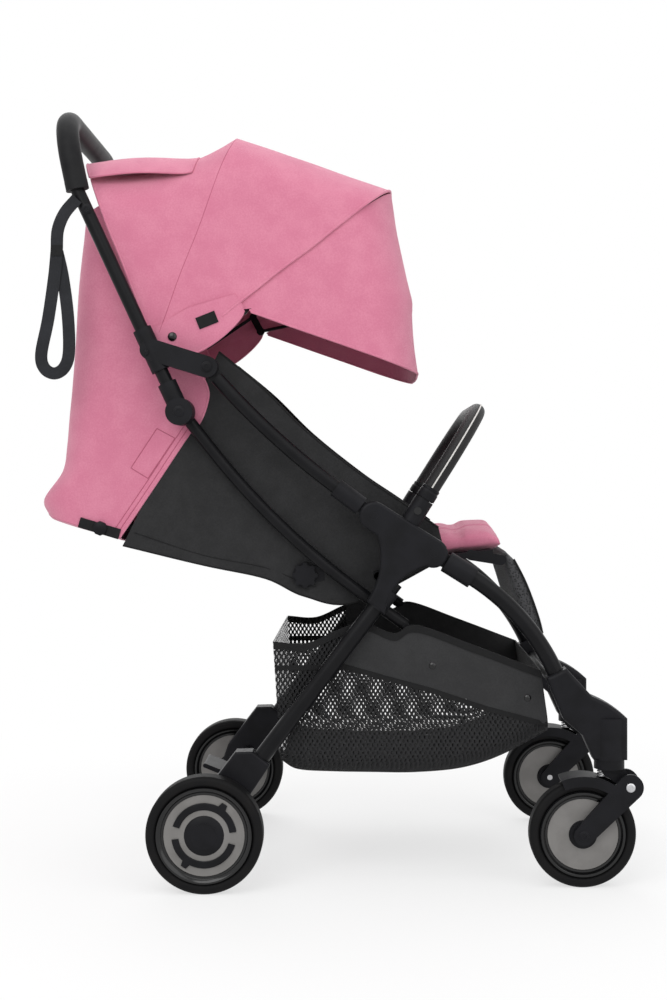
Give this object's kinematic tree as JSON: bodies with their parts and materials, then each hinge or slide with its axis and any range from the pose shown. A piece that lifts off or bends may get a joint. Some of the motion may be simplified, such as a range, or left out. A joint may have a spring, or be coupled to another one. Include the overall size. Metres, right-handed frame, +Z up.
{
  "type": "baby stroller",
  "caption": "Folding lightweight stroller with a reclining seat, sun canopy with visor, guard bar, swivelling sprung front wheels, braked rear wheels and a basket below the seat.",
  "frame": {"origin": "middle of the bounding box, on the floor the wheels stand on", "axes": "+X towards the front wheels, +Y towards the left side, +Z up"},
  "size_m": [0.7985, 0.4814, 1.0329],
  "materials": {
    "frame_paint": "satin",
    "black_plastic": "matte",
    "button_plastic": "gloss",
    "rim_plastic": "satin",
    "tyre_foam": "matte",
    "grip_foam": "matte",
    "steel": "brushed",
    "pink_cloth": "woven",
    "black_cloth": "woven",
    "grey_cloth": "woven",
    "guard_leather": "satin"
  },
  "bodies": {
    "chassis": {"rear_leg_left": "frame_paint", "rear_leg_right": "frame_paint", "side_housing_left": "black_plastic", "side_housing_right": "black_plastic", "side_joint_pins": "steel", "rear_wheel_housings": "black_plastic", "rear_axle": "steel", "rear_crossbar": "frame_paint", "seat_pan": "black_plastic", "seat_support_bar": "frame_paint", "recline_hubs": "black_plastic", "seat_cushion": "pink_cloth", "side_cloth_left": "black_cloth", "side_cloth_right": "black_cloth", "back_cloth": "pink_cloth", "basket": "grey_cloth", "guard_sockets": "black_plastic"},
    "side_frame": {"side_tube_left": "frame_paint", "side_tube_right": "frame_paint", "side_tube_sleeves": "black_plastic"},
    "front_frame": {"front_leg_left": "frame_paint", "front_leg_right": "frame_paint", "front_leg_sleeves": "black_plastic", "caster_housings": "black_plastic", "front_crossbar": "frame_paint"},
    "caster_left": {"fork_head_left": "black_plastic"},
    "caster_right": {"fork_head_right": "black_plastic"},
    "fork_left": {"fork_left": "black_plastic", "front_axle_left": "steel"},
    "fork_right": {"fork_right": "black_plastic", "front_axle_right": "steel"},
    "front_wheel_left": {"front_tyre_left": "tyre_foam", "front_rim_left": "rim_plastic"},
    "front_wheel_right": {"front_tyre_right": "tyre_foam", "front_rim_right": "rim_plastic"},
    "rear_wheel_left": {"rear_tyre_left": "tyre_foam", "rear_rim_left": "rim_plastic"},
    "rear_wheel_right": {"rear_tyre_right": "tyre_foam", "rear_rim_right": "rim_plastic"},
    "brake": {"brake_pedal": "black_plastic"},
    "backrest": {"backrest_board": "black_plastic", "backrest_pad": "pink_cloth"},
    "leg_rest": {"leg_rest": "black_cloth"},
    "hood_carrier": {"hood_bracket_left": "black_plastic", "hood_bracket_right": "black_plastic", "canopy_cloth": "pink_cloth"},
    "canopy_mid": {"canopy_bow_mid": "steel"},
    "canopy_front": {"canopy_bow_front": "steel"},
    "visor": {"visor_bow": "steel", "visor_cloth": "pink_cloth"},
    "push_handle": {"push_tube_left": "frame_paint", "push_tube_right": "frame_paint", "handle_grip": "grip_foam", "hinge_knuckles": "black_plastic", "carry_strap": "black_cloth"},
    "fold_button": {"fold_button": "button_plastic"},
    "links": {"link_tubes": "frame_paint"},
    "guard": {"guard_bar": "guard_leather"},
    "guard_button_left": {"guard_button_left": "button_plastic"},
    "guard_button_right": {"guard_button_right": "button_plastic"}
  },
  "joints": [
    {"name": "side_tube_fold", "type": "hinge", "parent": "chassis", "child": "side_frame", "pos_m": [0.053, 0, 0.487], "axis": [0, -1, 0], "range_deg": [0, 60], "deforming": ["side_cloth_left", "side_cloth_right", "back_cloth", "basket", "carry_strap"]},
    {"name": "front_leg_fold", "type": "hinge", "parent": "chassis", "child": "front_frame", "pos_m": [0.131, 0, 0.438], "axis": [0, 1, 0], "range_deg": [0, 50]},
    {"name": "hood_bracket_turn", "type": "hinge", "parent": "side_frame", "child": "hood_carrier", "pos_m": [-0.166, 0, 0.6827], "axis": [0, 1, 0], "range_deg": [0, 72.5]},
    {"name": "handle_slide", "type": "slide", "parent": "hood_carrier", "child": "push_handle", "axis": [0.421, 0, -0.907], "range_m": [0, 0.1956]},
    {"name": "link_turn", "type": "hinge", "parent": "push_handle", "child": "links", "pos_m": [-0.202, 0, 0.624], "axis": [0, -1, 0], "range_deg": [0, 94.1]},
    {"name": "canopy_fold", "type": "hinge", "parent": "hood_carrier", "child": "canopy_mid", "pos_m": [-0.238, 0, 0.713], "axis": [0, -1, 0], "range_deg": [0, 25], "deforming": ["canopy_cloth"]},
    {"name": "canopy_front_turn", "type": "hinge", "parent": "canopy_mid", "child": "canopy_front", "pos_m": [-0.238, 0, 0.713], "axis": [0, -1, 0], "range_deg": [0, 29]},
    {"name": "visor_turn", "type": "hinge", "parent": "canopy_front", "child": "visor", "pos_m": [-0.121, 0, 0.761], "axis": [0, -1, 0], "range_deg": [0, 28], "deforming": ["visor_cloth"]},
    {"name": "backrest_recline", "type": "hinge", "parent": "chassis", "child": "backrest", "pos_m": [-0.039, 0, 0.406], "axis": [0, 1, 0], "range_deg": [0, 40]},
    {"name": "leg_rest_lift", "type": "hinge", "parent": "chassis", "child": "leg_rest", "pos_m": [0.225, 0, 0.426], "axis": [0, -1, 0], "range_deg": [0, 60]},
    {"name": "brake_press", "type": "hinge", "parent": "chassis", "child": "brake", "pos_m": [-0.1405, 0, 0.1094], "axis": [0, -1, 0], "range_deg": [0, 20]},
    {"name": "guard_slide", "type": "slide", "parent": "chassis", "child": "guard", "axis": [0.532, 0, 0.8467], "range_m": [0, 0.03]},
    {"name": "fold_button_press", "type": "slide", "parent": "push_handle", "child": "fold_button", "axis": [0.9781, 0, 0.2079], "range_m": [0, 0.003], "stiffness_N_per_m": 400},
    {"name": "front_swivel_left", "type": "hinge", "parent": "front_frame", "child": "caster_left", "pos_m": [0.363, 0.192, 0.19], "axis": [0, 0, 1], "continuous": true},
    {"name": "suspension_left", "type": "hinge", "parent": "caster_left", "child": "fork_left", "pos_m": [0.388, 0.192, 0.133], "axis": [0, 1, 0], "range_deg": [0, 6], "stiffness_Nm_per_rad": 20, "springref_deg": -5.73},
    {"name": "front_spin_left", "type": "hinge", "parent": "fork_left", "child": "front_wheel_left", "pos_m": [0.327, 0.192, 0.07], "axis": [0, 1, 0], "continuous": true},
    {"name": "rear_spin_left", "type": "hinge", "parent": "chassis", "child": "rear_wheel_left", "pos_m": [-0.166, 0.224, 0.076], "axis": [0, 1, 0], "continuous": true},
    {"name": "guard_button_left_press", "type": "slide", "parent": "chassis", "child": "guard_button_left", "axis": [0, -1, 0], "range_m": [0, 0.002], "stiffness_N_per_m": 400},
    {"name": "front_swivel_right", "type": "hinge", "parent": "front_frame", "child": "caster_right", "pos_m": [0.363, -0.192, 0.19], "axis": [0, 0, 1], "continuous": true},
    {"name": "suspension_right", "type": "hinge", "parent": "caster_right", "child": "fork_right", "pos_m": [0.388, -0.192, 0.133], "axis": [0, 1, 0], "range_deg": [0, 6], "stiffness_Nm_per_rad": 20, "springref_deg": -5.73},
    {"name": "front_spin_right", "type": "hinge", "parent": "fork_right", "child": "front_wheel_right", "pos_m": [0.327, -0.192, 0.07], "axis": [0, 1, 0], "continuous": true},
    {"name": "rear_spin_right", "type": "hinge", "parent": "chassis", "child": "rear_wheel_right", "pos_m": [-0.166, -0.224, 0.076], "axis": [0, 1, 0], "continuous": true},
    {"name": "guard_button_right_press", "type": "slide", "parent": "chassis", "child": "guard_button_right", "axis": [0, 1, 0], "range_m": [0, 0.002], "stiffness_N_per_m": 400}
  ],
  "couplings": [
    {"joint": "front_leg_fold", "follows": "side_tube_fold", "ratio": 0.83333},
    {"joint": "hood_bracket_turn", "follows": "side_tube_fold", "ratio": 1.2083},
    {"joint": "handle_slide", "follows": "side_tube_fold", "m_per_rad": 0.18678},
    {"joint": "link_turn", "follows": "side_tube_fold", "ratio": 1.5683},
    {"joint": "canopy_front_turn", "follows": "canopy_fold", "ratio": 1.16}
  ]
}
